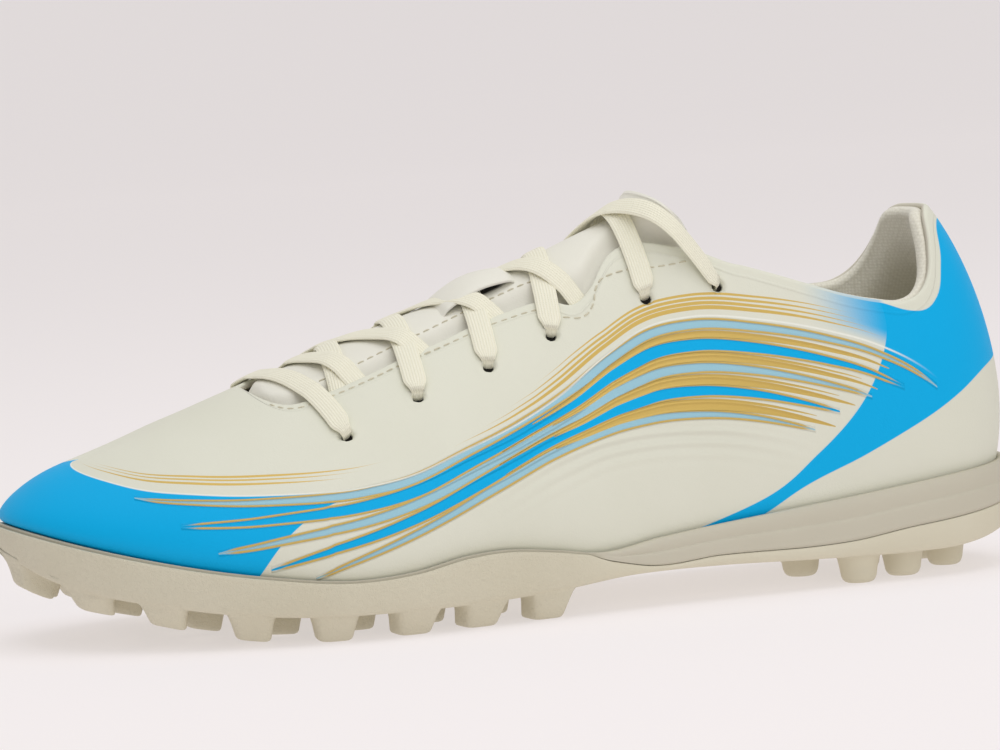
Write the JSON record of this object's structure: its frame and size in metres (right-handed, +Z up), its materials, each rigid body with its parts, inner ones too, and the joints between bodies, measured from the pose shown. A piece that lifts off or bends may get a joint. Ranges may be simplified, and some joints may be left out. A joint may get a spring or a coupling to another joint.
{
  "type": "turf shoe",
  "caption": "Low lace-up turf shoe for the left foot, with a smooth coated upper, a low padded collar, flat laces and a rubber sole with moulded lugs",
  "frame": {"origin": "middle of the shoe's box on the floor, under the waist", "axes": "+X from toe to heel, +Y from the outer side to the inner side of the foot, +Z up"},
  "size_m": [0.292, 0.1042, 0.1127],
  "materials": {
    "rubber": "matt moulded rubber with a fine leather-like grain on the forefoot wall",
    "foam": "smooth matt moulded foam",
    "synthetic": "thin coated synthetic with a soft sheen, embossed grooves and printed colour",
    "textile": "fine knitted lining",
    "lace": "flat woven lace with lengthwise ribs"
  },
  "bodies": {
    "root": {"outsole": "rubber", "midsole": "foam", "insole": "textile", "upper": "synthetic", "collar_lining": "textile", "tongue": "synthetic", "lace_keeper": "synthetic", "lace_bar": "lace", "laces": "lace"}
  },
  "joints": []
}
